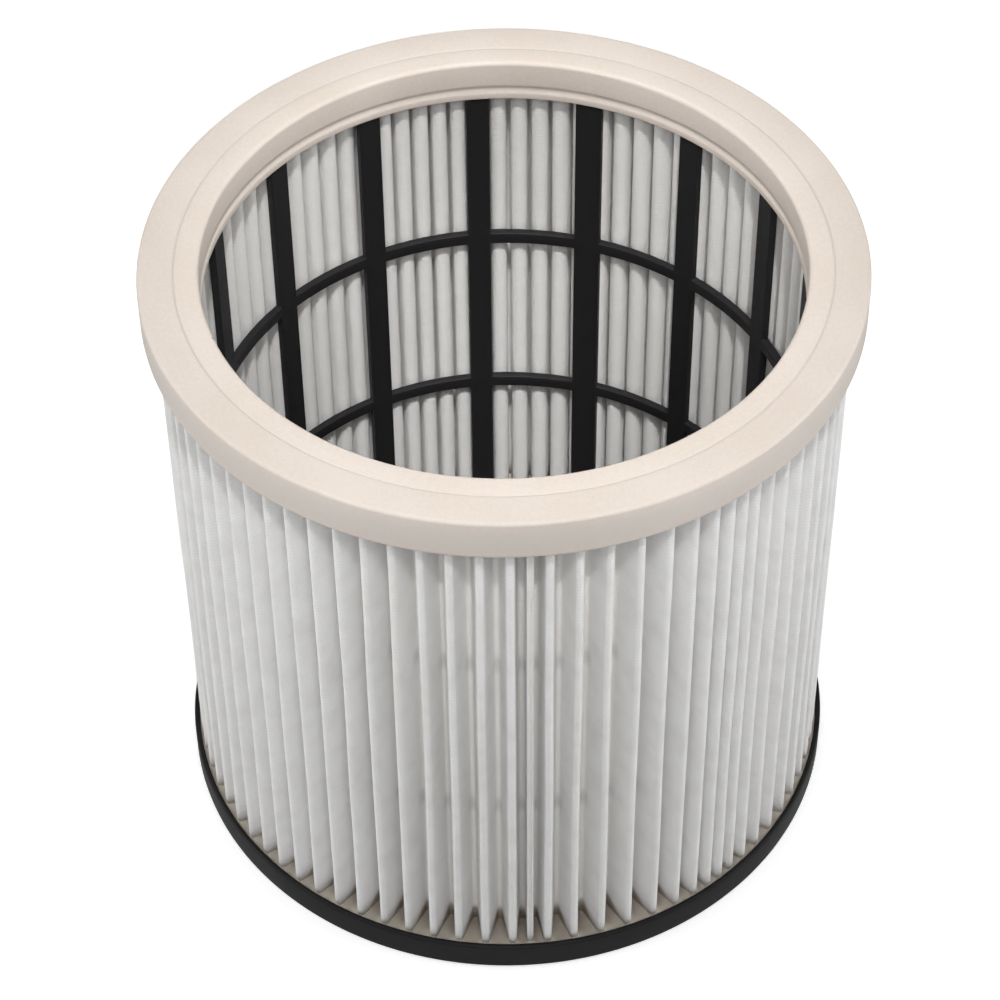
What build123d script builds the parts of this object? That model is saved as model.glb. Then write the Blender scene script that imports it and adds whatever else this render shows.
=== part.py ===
from build123d import *
import math
import os

# Cylindrical pleated filter element for a wet-and-dry vacuum cleaner or a dust extractor.
# Air passes inwards through a pleated sheet, which stands round an open plastic cage and
# is cast into a soft seal ring at the top and potted into a closed end cap at the bottom.
# Sizes are in millimetres. +Z is up and is the element's axis, and the origin is the
# centre of the end cap's underside. Angles are in degrees, counted from -Y towards +X.

# ---------------------------------------------------------------- driving dimensions

OVERALL_HEIGHT = 209.5  # underside of the end cap to the top of the seal ring

# Seal ring, cast round the top of the pleats and the cage
RING_BORE_RADIUS = 89.8  # seals on the collar that the element is pushed over
RING_HEIGHT = 14.5
RING_OVERHANG = 4.1  # how far the ring stands out past the pleat tips
RING_TOP_EDGE_RADIUS = 2.0
RING_LOWER_EDGE_RADIUS = 3.0
RING_BORE_EDGE = 1.2  # chamfer at the bore's mouth
ROUND_FLATS = 2  # flats that stand for each rounded edge, to keep the ring light
COVE_BELOW_TOP = 10.6  # centre of the shallow groove round the bore
COVE_WIDTH = 3.0
COVE_DEPTH = 0.45

# Inner cage, moulded in one piece
BORE_SKIN = 1.0  # ring material between the bore and the cage's inner face
CAGE_WALL = 2.5
CAGE_INSERTION = 6.1  # how far the cage reaches up into the seal ring
RIB_COUNT = 16
RIB_WIDTH = 7.3
CLOSING_RIB_WIDTH = 8.5  # the one wide rib
CLOSING_RIB_INDEX = 7
FIRST_RIB_ANGLE = 5.0
HOOP_COUNT = 2  # hoops across the windows, between the two end hoops
HOOP_HEIGHT = 4.4
END_HOOP_HEIGHT = 10.0  # hoop that stands in the end cap
CAGE_FIT = 0.1  # round the cage, in the ring and in the potting
POTTING_UNDER_CAGE = 1.0

# Pleated sheet
PLEAT_COUNT = 80
PLEAT_DEPTH = 10.5
SHEET_THICKNESS = 0.6
TIP_FOLD_RADIUS = 0.9  # middle of the sheet's thickness, as all fold radii
VALLEY_FOLD_SHARE = 0.36  # a valley's fold radius, as a share of the pitch there
FOLD_SWEEP = 70.0  # how far a fold's round reaches to each side of its crest
FOLD_FLATS = 2  # flats that stand for each round, to keep the sheet light
PLEAT_TO_CAGE = 0.1
SEAM_ANGLE = 3.7
SEAM_PITCH = 6.2  # angle between the two tips beside the seam
SEAM_FIN_WIDTH = 2.0  # two layers of sheet and the glue between them
SEAM_FIN_BELOW_TIPS = 0.5
CROWDED_TIP = 7.4  # tip where the pleats stand closest, counted from the seam
CROWDED_SHARE = 0.38  # of the mean pitch that is missing there
SLACK_TIP = 2.6
SLACK_SHARE = 0.1
SPREAD_TIPS = 2.6  # tips on each side that either one reaches
LOOSE_TIP = 77.6  # the stretched pleats just before the seam
LOOSE_SHARE = 0.09
LOOSE_SPREAD_TIPS = 1.3
WANDER_SHARE = 0.03
WANDER_WAVES = 9

# Potting and end cap
PLEAT_TO_RIM = 0.5
RIM_WALL = 1.8
RIM_HEIGHT = 10.4
CAP_FLOOR = 1.6
POTTING_BELOW_RIM = 1.6
DAM_TO_CAGE = 2.8
DAM_WALL = 2.0
DAM_ABOVE_POTTING = 1.0

# --------------------------------------------------------------- derived dimensions

ring_underside = OVERALL_HEIGHT - RING_HEIGHT
cage_inner_radius = RING_BORE_RADIUS + BORE_SKIN
cage_outer_radius = cage_inner_radius + CAGE_WALL
cage_foot = CAP_FLOOR + POTTING_UNDER_CAGE
cage_top = ring_underside + CAGE_INSERTION
valley_radius = cage_outer_radius + PLEAT_TO_CAGE
tip_radius = valley_radius + PLEAT_DEPTH
ring_outer_radius = tip_radius + RING_OVERHANG
rim_inner_radius = tip_radius + PLEAT_TO_RIM
rim_outer_radius = rim_inner_radius + RIM_WALL
potting_top = RIM_HEIGHT - POTTING_BELOW_RIM
dam_outer_radius = cage_inner_radius - DAM_TO_CAGE
dam_inner_radius = dam_outer_radius - DAM_WALL
dam_top = potting_top + DAM_ABOVE_POTTING


def turned(*outline):
    """Solid turned from a closed outline of (radius, height) points."""
    return revolve(Plane.XZ * make_face(Polyline(*outline, close=True)), Axis.Z)


def turned_band(low_radius, high_radius, low_z, high_z):
    """Plain ring of rectangular section."""
    return turned(
        (low_radius, low_z), (high_radius, low_z), (high_radius, high_z), (low_radius, high_z)
    )


def quarter_round(radius, height, round_radius, start):
    """Outline points of a rounded edge, from the start direction through a right angle.

    The radius and height are those of the round's centre. Directions are in degrees,
    counted from outwards towards up.
    """
    turns = [math.radians(start + 90 * step / ROUND_FLATS) for step in range(ROUND_FLATS + 1)]
    return [
        (radius + round_radius * math.cos(turn), height + round_radius * math.sin(turn))
        for turn in turns
    ]


def seal_ring():
    """Soft ring with a shallow cove round its bore and a pocket for the top of the cage."""
    cove_height = OVERALL_HEIGHT - COVE_BELOW_TOP
    lower_edge = quarter_round(
        ring_outer_radius - RING_LOWER_EDGE_RADIUS,
        ring_underside + RING_LOWER_EDGE_RADIUS,
        RING_LOWER_EDGE_RADIUS,
        -90,
    )
    top_edge = quarter_round(
        ring_outer_radius - RING_TOP_EDGE_RADIUS,
        OVERALL_HEIGHT - RING_TOP_EDGE_RADIUS,
        RING_TOP_EDGE_RADIUS,
        0,
    )
    return turned(
        (RING_BORE_RADIUS, ring_underside),
        (cage_inner_radius - CAGE_FIT, ring_underside),
        (cage_inner_radius - CAGE_FIT, cage_top),
        (cage_outer_radius + CAGE_FIT, cage_top),
        (cage_outer_radius + CAGE_FIT, ring_underside),
        *lower_edge,
        *top_edge,
        (RING_BORE_RADIUS + RING_BORE_EDGE, OVERALL_HEIGHT),
        (RING_BORE_RADIUS, OVERALL_HEIGHT - RING_BORE_EDGE),
        (RING_BORE_RADIUS, cove_height + COVE_WIDTH / 2),
        (RING_BORE_RADIUS + COVE_DEPTH, cove_height),
        (RING_BORE_RADIUS, cove_height - COVE_WIDTH / 2),
    )


def hoop(low_z, high_z):
    """One hoop of the cage."""
    return turned_band(cage_inner_radius, cage_outer_radius, low_z, high_z)


def rib_blank(index):
    """Upright bar that is trimmed to the cage's wall to make one rib."""
    width = CLOSING_RIB_WIDTH if index == CLOSING_RIB_INDEX else RIB_WIDTH
    angle = FIRST_RIB_ANGLE + index * 360 / RIB_COUNT
    reach = cage_outer_radius + CAGE_WALL
    bar = Box(width, reach, cage_top - cage_foot, align=(Align.CENTER, Align.MAX, Align.MIN))
    return Pos(0, 0, cage_foot) * Rot(0, 0, angle) * bar


def inner_cage():
    """Ribs and hoops, in one piece, standing in the potting."""
    wall = hoop(cage_foot, cage_top)
    ribs = wall & (Part() + [rib_blank(index) for index in range(RIB_COUNT)])
    hoop_step = (cage_top - cage_foot) / (HOOP_COUNT + 1)
    middles = [cage_foot + hoop_step * (index + 1) for index in range(HOOP_COUNT)]
    hoops = [hoop(middle - HOOP_HEIGHT / 2, middle + HOOP_HEIGHT / 2) for middle in middles]
    foot_hoop = hoop(cage_foot, cage_foot + END_HOOP_HEIGHT)
    head_hoop = hoop(ring_underside, cage_top)
    return ribs + [foot_hoop, head_hoop, *hoops]


def pitch_weight(index):
    """Relative width of the pleat between one tip and the next, as the sheet was spread."""
    crowded = CROWDED_SHARE * math.exp(-(((index - CROWDED_TIP) / SPREAD_TIPS) ** 2))
    slack = SLACK_SHARE * math.exp(-(((index - SLACK_TIP) / SPREAD_TIPS) ** 2))
    loose = LOOSE_SHARE * math.exp(-(((index - LOOSE_TIP) / LOOSE_SPREAD_TIPS) ** 2))
    wander = WANDER_SHARE * math.sin(2 * math.pi * WANDER_WAVES * index / PLEAT_COUNT)
    return 1 - crowded + slack + loose + wander


def tip_angles():
    """Angles of the pleat tips, starting on the +X side of the seam and going round."""
    weights = [pitch_weight(index) for index in range(PLEAT_COUNT - 1)]
    scale = (360 - SEAM_PITCH) / sum(weights)
    angles = [SEAM_ANGLE + SEAM_PITCH / 2]
    for weight in weights:
        angles.append(angles[-1] + scale * weight)
    return angles


def fold(angle, crest_radius, facing, fold_radius):
    """Points round one fold, in the direction of growing angle.

    The crest radius is that of the fold's outermost or innermost point. A fold that faces
    outwards is 1, and one that faces the axis is -1.
    """
    middle = crest_radius - facing * fold_radius
    points = []
    for step in range(FOLD_FLATS + 1):
        bend = math.radians(FOLD_SWEEP * (2 * step / FOLD_FLATS - 1))
        outwards = middle + facing * fold_radius * math.cos(bend)
        sideways = fold_radius * math.sin(bend)
        points.append(Vector(sideways, -outwards, 0).rotate(Axis.Z, angle))
    return points


def fold_line():
    """Zigzag through the middle of the sheet: a tip, the wider valley after it, and so on."""
    half_sheet = SHEET_THICKNESS / 2
    tips = tip_angles()
    points = []
    for here, following in zip(tips, tips[1:] + [tips[0] + 360]):
        pitch = math.radians(following - here) * valley_radius
        valley_fold = VALLEY_FOLD_SHARE * pitch
        points += fold(here, tip_radius - half_sheet, 1, TIP_FOLD_RADIUS)
        middle = (here + following) / 2
        points += fold(middle, valley_radius + half_sheet, -1, valley_fold)
    return Wire(Polyline(*points, close=True))


def seam_fin(height):
    """The sheet's two ends, glued face to face, that stand up in the valley at the seam."""
    inner = valley_radius + SHEET_THICKNESS / 2
    outer = tip_radius - SEAM_FIN_BELOW_TIPS
    fin = Box(SEAM_FIN_WIDTH, outer - inner, height, align=(Align.CENTER, Align.MAX, Align.MIN))
    return Rot(0, 0, SEAM_ANGLE) * Pos(0, -inner, 0) * fin


def pleated_media():
    """The whole pleated sheet, from the potting to the seal ring."""
    height = ring_underside - potting_top
    line = fold_line()
    outside = make_face(line.offset_2d(SHEET_THICKNESS / 2, Kind.INTERSECTION))
    inside = make_face(line.offset_2d(-SHEET_THICKNESS / 2, Kind.INTERSECTION))
    sheet = extrude(outside - inside, height)
    return Pos(0, 0, potting_top) * (sheet + seam_fin(height))


def potting():
    """Adhesive bed in the end cap's channel, with the cage standing in it."""
    bed = turned_band(dam_outer_radius, rim_inner_radius, CAP_FLOOR, potting_top)
    slot = turned_band(
        cage_inner_radius - CAGE_FIT, cage_outer_radius + CAGE_FIT, cage_foot, potting_top
    )
    return bed - slot


def end_cap():
    """Closed cap: a flat floor, an outer rim and a dam that make the potting channel."""
    return turned(
        (0, 0),
        (rim_outer_radius, 0),
        (rim_outer_radius, RIM_HEIGHT),
        (rim_inner_radius, RIM_HEIGHT),
        (rim_inner_radius, CAP_FLOOR),
        (dam_outer_radius, CAP_FLOOR),
        (dam_outer_radius, dam_top),
        (dam_inner_radius, dam_top),
        (dam_inner_radius, CAP_FLOOR),
        (0, CAP_FLOOR),
    )


def main():
    """Build every piece and write one STEP file for each."""
    os.makedirs("parts", exist_ok=True)
    pieces = {
        "seal_ring": seal_ring(),
        "pleated_media": pleated_media(),
        "inner_cage": inner_cage(),
        "potting": potting(),
        "end_cap": end_cap(),
    }
    for name, shape in pieces.items():
        export_step(shape, f"parts/{name}.step")


main()
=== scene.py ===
import logging
import math
from dataclasses import dataclass, field
from enum import Enum

import bmesh
import bpy
from mathutils import Matrix, Vector, noise
from mathutils.bvhtree import BVHTree


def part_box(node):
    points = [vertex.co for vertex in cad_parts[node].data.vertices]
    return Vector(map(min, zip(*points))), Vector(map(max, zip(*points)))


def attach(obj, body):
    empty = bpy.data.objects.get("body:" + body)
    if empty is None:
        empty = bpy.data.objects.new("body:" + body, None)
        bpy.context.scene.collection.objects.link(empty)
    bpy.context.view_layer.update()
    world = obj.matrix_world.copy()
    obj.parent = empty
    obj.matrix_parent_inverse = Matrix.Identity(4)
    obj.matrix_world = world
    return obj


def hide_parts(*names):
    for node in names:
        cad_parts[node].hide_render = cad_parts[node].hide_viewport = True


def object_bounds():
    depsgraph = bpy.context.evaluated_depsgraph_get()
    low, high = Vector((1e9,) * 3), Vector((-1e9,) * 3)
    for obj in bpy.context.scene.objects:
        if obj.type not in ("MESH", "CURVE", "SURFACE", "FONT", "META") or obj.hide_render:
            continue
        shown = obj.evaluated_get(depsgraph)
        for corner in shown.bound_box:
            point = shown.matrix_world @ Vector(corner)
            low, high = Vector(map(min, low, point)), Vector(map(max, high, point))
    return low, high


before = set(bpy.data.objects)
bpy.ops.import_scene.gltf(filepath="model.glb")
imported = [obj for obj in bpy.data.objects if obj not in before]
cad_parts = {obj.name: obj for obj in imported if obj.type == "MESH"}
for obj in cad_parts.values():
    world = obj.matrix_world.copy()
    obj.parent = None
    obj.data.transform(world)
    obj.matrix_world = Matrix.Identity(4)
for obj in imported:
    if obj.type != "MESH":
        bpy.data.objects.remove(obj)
CAD_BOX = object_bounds()

MM = 0.001
AXIS = Vector((0.0, 0.0, 1.0))
BODY = "root"
WHITE = (1.0, 1.0, 1.0, 1.0)
# Tip number of the points on the glued fin, which belong to no pleat.
GLUED = -1
LOG = logging.getLogger("filter_element")
Socket = bpy.types.NodeSocket


# ------------------------------------------------------------------ small helpers


def polar(radius: float, angle: float, height: float) -> Vector:
    """Point at a radius, an angle in degrees counted from -Y towards +X, and a height."""
    turn = math.radians(angle)
    return Vector((radius * math.sin(turn), -radius * math.cos(turn), height))


def beside(angle: float, across: float, out: float) -> Vector:
    """Ground point, out from the axis at an angle in degrees from -Y and across from there."""
    return Matrix.Rotation(math.radians(angle), 3, "Z") @ Vector((across, -out, 0.0))


def smooth_step(value: float) -> float:
    """Value from 0 to 1 with its ends eased."""
    clear = min(max(value, 0.0), 1.0)
    return clear * clear * (3.0 - 2.0 * clear)


def extrude(bm: bmesh.types.BMesh, edges: list) -> tuple[list, list]:
    """Extrude edges into faces, with the new ones still in their place.

    Args:
        bm: The mesh.
        edges: The edges.

    Returns:
        The new edges and the new points.
    """
    grown = bmesh.ops.extrude_edge_only(bm, edges=edges)["geom"]
    new_edges = [item for item in grown if isinstance(item, bmesh.types.BMEdge)]
    return new_edges, [item for item in grown if isinstance(item, bmesh.types.BMVert)]


def thicken(piece: bpy.types.Object, thickness: float, offset: float) -> None:
    """Give an open piece its wall.

    Args:
        piece: The piece.
        thickness: Thickness of the wall.
        offset: 1 to lay it outside the mesh, or 0 to lay half on each side.
    """
    wall = piece.modifiers.new("wall", "SOLIDIFY")
    wall.thickness = thickness
    wall.offset = offset
    wall.use_even_offset = True


def placed_object(name: str, data: bpy.types.ID) -> bpy.types.Object:
    """Make an object and link it into the scene.

    Args:
        name: Name of the object.
        data: Its mesh, light or camera.

    Returns:
        The object.
    """
    item = bpy.data.objects.new(name, data)
    bpy.context.scene.collection.objects.link(item)
    return item


def finished_piece(
    bm: bmesh.types.BMesh,
    name: str,
    material: bpy.types.Material,
    node: str,
    sharp_angle: float,
) -> bpy.types.Object:
    """Turn a bmesh into a smooth-shaded piece that stands for one node of the frame.

    Args:
        bm: The finished mesh, with its faces outwards. It is freed.
        name: Name of the piece.
        material: Its finish.
        node: The node that it replaces.
        sharp_angle: Angle in degrees past which an edge stays sharp.

    Returns:
        The new object, riding on the body.
    """
    mesh = bpy.data.meshes.new(name)
    bm.to_mesh(mesh)
    bm.free()
    mesh.shade_smooth()
    mesh.set_sharp_from_angle(angle=math.radians(sharp_angle))
    mesh.materials.append(material)
    piece = placed_object(name, mesh)
    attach(piece, BODY)
    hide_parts(node)
    LOG.info("%s: %d faces", name, len(mesh.polygons))
    return piece


# --------------------------------------------------------------- shader building


class Graph:
    """Adds and links the nodes of one shader tree."""

    def __init__(self, tree: bpy.types.NodeTree) -> None:
        """Keep the tree that the nodes go into."""
        self.tree = tree

    def feed(self, node: bpy.types.Node, **inputs: object) -> bpy.types.Node:
        """Give a node's inputs their values or link sockets to them.

        Args:
            node: The node.
            inputs: Values or sockets, with _ for a space in an input's name. A name such as
                in0 stands for the input at that place.

        Returns:
            The same node.
        """
        for key, value in inputs.items():
            place = key[2:]
            name = key.replace("_", " ")
            socket = node.inputs[int(place)] if place.isdigit() else node.inputs[name]
            if isinstance(value, Socket):
                self.tree.links.new(value, socket)
            else:
                socket.default_value = value
        return node

    def add(self, kind: str, settings: dict | None = None, **inputs: object) -> bpy.types.Node:
        """Add a node.

        Args:
            kind: Node type, such as ShaderNodeMath.
            settings: Properties of the node itself.
            inputs: Values or sockets for its inputs, named as in feed.

        Returns:
            The new node.
        """
        node = self.tree.nodes.new(kind)
        for key, value in (settings or {}).items():
            setattr(node, key, value)
        return self.feed(node, **inputs)

    def math(self, operation: str, first: object, second: object = 0.0) -> Socket:
        """Result of one Math node."""
        settings = {"operation": operation}
        return self.add("ShaderNodeMath", settings, in0=first, in1=second).outputs[0]

    def apart(self, first: Socket, second: float) -> Socket:
        """How far a value is from another, without its sign."""
        return self.math("ABSOLUTE", self.math("SUBTRACT", first, second))

    def ramp(self, value: Socket, span: tuple, ends: tuple) -> Socket:
        """Ease a value over a span and hold it outside.

        Args:
            value: The value.
            span: Where the span starts and ends.
            ends: What comes out at its start and at its end.

        Returns:
            The eased value.
        """
        settings = {"interpolation_type": "SMOOTHSTEP"}
        node = self.add("ShaderNodeMapRange", settings, in0=value)
        for place, limit in enumerate((*span, *ends), start=1):
            node.inputs[place].default_value = limit
        return node.outputs[0]

    def blend(self, factor: object, first: object, second: object) -> Socket:
        """Mix of two colours."""
        node = self.add("ShaderNodeMix", {"data_type": "RGBA"}, in0=factor, in6=first, in7=second)
        return node.outputs[2]

    def bump(self, strength: float, distance: float, height: Socket) -> Socket:
        """Normal of a surface that rises and falls with a value."""
        given = {"Strength": strength, "Distance": distance, "Height": height}
        return self.add("ShaderNodeBump", **given).outputs[0]

    def position(self) -> Socket:
        """Place on the piece, in metres."""
        return self.add("ShaderNodeTexCoord").outputs["Object"]


class Effect(Enum):
    """Effects that several finishes share, by the name of their node group."""

    MOTTLE = "cloudy_mottle"
    GRAIN = "fine_grain"
    RADIAL = "place_round_axis"


class Effects:
    """The shared node groups, each built once."""

    def __init__(self) -> None:
        """Build every group."""
        self.groups = {
            Effect.MOTTLE: self.mottle(),
            Effect.GRAIN: self.grain(),
            Effect.RADIAL: self.radial(),
        }

    @staticmethod
    def start(effect: Effect, inputs: dict[str, float], outputs: list[str]) -> tuple:
        """Make an empty group with float inputs and outputs.

        Args:
            effect: The effect that the group is for.
            inputs: Names and starting values of the inputs.
            outputs: Names of the outputs.

        Returns:
            The group, its graph, the sockets that it is given and its output node.
        """
        group = bpy.data.node_groups.new(effect.value, "ShaderNodeTree")
        sides = [("INPUT", name) for name in inputs] + [("OUTPUT", name) for name in outputs]
        for side, name in sides:
            socket = group.interface.new_socket(name, in_out=side, socket_type="NodeSocketFloat")
            socket.default_value = inputs.get(name, 0.0)
        graph = Graph(group)
        return group, graph, graph.add("NodeGroupInput").outputs, graph.add("NodeGroupOutput")

    @classmethod
    def mottle(cls) -> bpy.types.NodeTree:
        """Build the cloudy value round 0, for uneven colour and gloss.

        Returns:
            The group.
        """
        inputs = {"Scale": 60.0, "Detail": 1.0, "Strength": 1.0}
        group, graph, given, result = cls.start(Effect.MOTTLE, inputs, ["Value"])
        scaled = {"Scale": given["Scale"], "Detail": given["Detail"]}
        cloud = graph.add("ShaderNodeTexNoise", Vector=graph.position(), **scaled)
        centred = graph.math("SUBTRACT", cloud.outputs[0], 0.5)
        graph.feed(result, Value=graph.math("MULTIPLY", centred, given["Strength"]))
        return group

    @classmethod
    def grain(cls) -> bpy.types.NodeTree:
        """Build the fine two-scale grain from 0 to 1, for bump and speckle.

        Returns:
            The group.
        """
        inputs = {"Scale": 1500.0, "Coarse": 0.35}
        group, graph, given, result = cls.start(Effect.GRAIN, inputs, ["Value"])
        place = graph.position()
        coarser = graph.math("MULTIPLY", given["Scale"], 0.27)
        fine = graph.add("ShaderNodeTexNoise", Vector=place, Scale=given["Scale"], Detail=1.0)
        coarse = graph.add("ShaderNodeTexNoise", Vector=place, Scale=coarser, Detail=1.0)
        weighed = graph.math("MULTIPLY", coarse.outputs[0], given["Coarse"])
        total = graph.math("ADD", fine.outputs[0], weighed)
        share = graph.math("ADD", given["Coarse"], 1.0)
        graph.feed(result, Value=graph.math("DIVIDE", total, share))
        return group

    @classmethod
    def radial(cls) -> bpy.types.NodeTree:
        """Build the radius from the element's axis and the height, in metres.

        Returns:
            The group.
        """
        group, graph, _, result = cls.start(Effect.RADIAL, {}, ["Radius", "Height"])
        x, y, height = graph.add("ShaderNodeSeparateXYZ", Vector=graph.position()).outputs
        flat = graph.add("ShaderNodeCombineXYZ", X=x, Y=y).outputs[0]
        length = graph.add("ShaderNodeVectorMath", {"operation": "LENGTH"}, in0=flat)
        graph.feed(result, Radius=length.outputs["Value"], Height=height)
        return group

    def place(self, graph: Graph, effect: Effect, **inputs: object) -> bpy.types.Node:
        """Put an effect into a material with its own values."""
        return graph.add("ShaderNodeGroup", {"node_tree": self.groups[effect]}, **inputs)

    def value(self, graph: Graph, effect: Effect, **inputs: object) -> Socket:
        """Value of an effect that has one output."""
        return self.place(graph, effect, **inputs).outputs["Value"]


def new_material(name: str) -> tuple[bpy.types.Material, Graph, bpy.types.Node, bpy.types.Node]:
    """Make an empty material with a Principled shader on its output.

    Args:
        name: Name of the finish.

    Returns:
        The material, its graph, the shader and the output node.
    """
    material = bpy.data.materials.new(name)
    material.use_nodes = True
    material.node_tree.nodes.clear()
    graph = Graph(material.node_tree)
    shader = graph.add("ShaderNodeBsdfPrincipled")
    output = graph.add("ShaderNodeOutputMaterial", Surface=shader.outputs[0])
    return material, graph, shader, output


# ----------------------------------------------------------------------- finishes


@dataclass(frozen=True)
class FoamFinish:
    """Ivory cast foam with a satin skin, with shade painted by where it lies on the ring: in the
    mould-line groove and on the side.
    """

    name: str = "ivory_foam"
    colour: tuple = (0.725, 0.648, 0.585, 1.0)
    shade: tuple = (0.672, 0.593, 0.525, 1.0)
    roughness: float = 0.62
    relief: float = 0.1 * MM
    nick_colour: tuple = (0.10, 0.08, 0.06, 1.0)
    nick: tuple = (-83.5 * MM, -33.5 * MM, 208.8 * MM)
    nick_fade: tuple = (0.36 * MM, 0.9 * MM)
    # Painted shade in the mould-line groove of the top face.
    groove_shade_colour: tuple = (0.56, 0.52, 0.48, 1.0)
    groove_shade_fade: tuple = (0.1 * MM, 0.6 * MM)
    line_radius: float = 0.0
    # Painted shade over the ring's side, darkest at its middle height.
    side_shade_colour: tuple = (0.60, 0.56, 0.515, 1.0)
    side_shade_fade: tuple = (1.5 * MM, 6.5 * MM)
    side_fade: tuple = (1.0 * MM, 0.4 * MM)
    outer_radius: float = 0.0
    middle_height: float = 0.0

    def material(self, effects: Effects) -> bpy.types.Material:
        """Build the finish.

        Args:
            effects: The shared node groups.

        Returns:
            The material.
        """
        material, graph, shader, _ = new_material(self.name)
        cloud = effects.value(graph, Effect.MOTTLE, Scale=34.0, Strength=1.6)
        grain = effects.value(graph, Effect.GRAIN, Scale=2600.0, Coarse=0.6)
        mixed = graph.math("ADD", cloud, graph.ramp(grain, (0.35, 0.68), (0.65, 0.0)))
        body = graph.blend(graph.ramp(mixed, (-0.2, 0.9), (0.0, 1.0)), self.colour, self.shade)
        placed = effects.place(graph, Effect.RADIAL).outputs
        body = self.shaded(graph, placed["Radius"], placed["Height"], body)
        settings = {"operation": "DISTANCE"}
        reach = graph.add("ShaderNodeVectorMath", settings, in0=graph.position(), in1=self.nick)
        marked = graph.ramp(reach.outputs["Value"], self.nick_fade, (0.8, 0.0))
        graph.feed(
            shader,
            Base_Color=graph.blend(marked, body, self.nick_colour),
            Roughness=self.roughness,
            Normal=graph.bump(0.25, self.relief, grain),
        )
        return material

    def shaded(self, graph: Graph, radius: Socket, height: Socket, body: Socket) -> Socket:
        """Paint shade into the mould-line groove in the top face, and paint shade over the side,
        darkest at its middle height.

        Args:
            graph: The material's graph.
            radius: Radius from the axis.
            height: Height over the floor.
            body: The plain body colour.

        Returns:
            The colour.
        """
        # Painted shade in the mould-line groove, on the top face only.
        from_line = graph.apart(radius, self.line_radius)
        above = graph.math("GREATER_THAN", height, self.middle_height)
        line = graph.math("MULTIPLY", graph.ramp(from_line, self.groove_shade_fade, (0.7, 0.0)), above)
        with_groove_shade = graph.blend(line, body, self.groove_shade_colour)
        # Painted shade over the side, darkest at its middle height.
        skin = tuple(self.outer_radius - inset for inset in self.side_fade)
        side = graph.ramp(radius, skin, (0.0, 0.6))
        from_middle = graph.apart(height, self.middle_height)
        side_shade = graph.math("MULTIPLY", side, graph.ramp(from_middle, self.side_shade_fade, (1.0, 0.45)))
        return graph.blend(side_shade, with_groove_shade, self.side_shade_colour)


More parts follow.
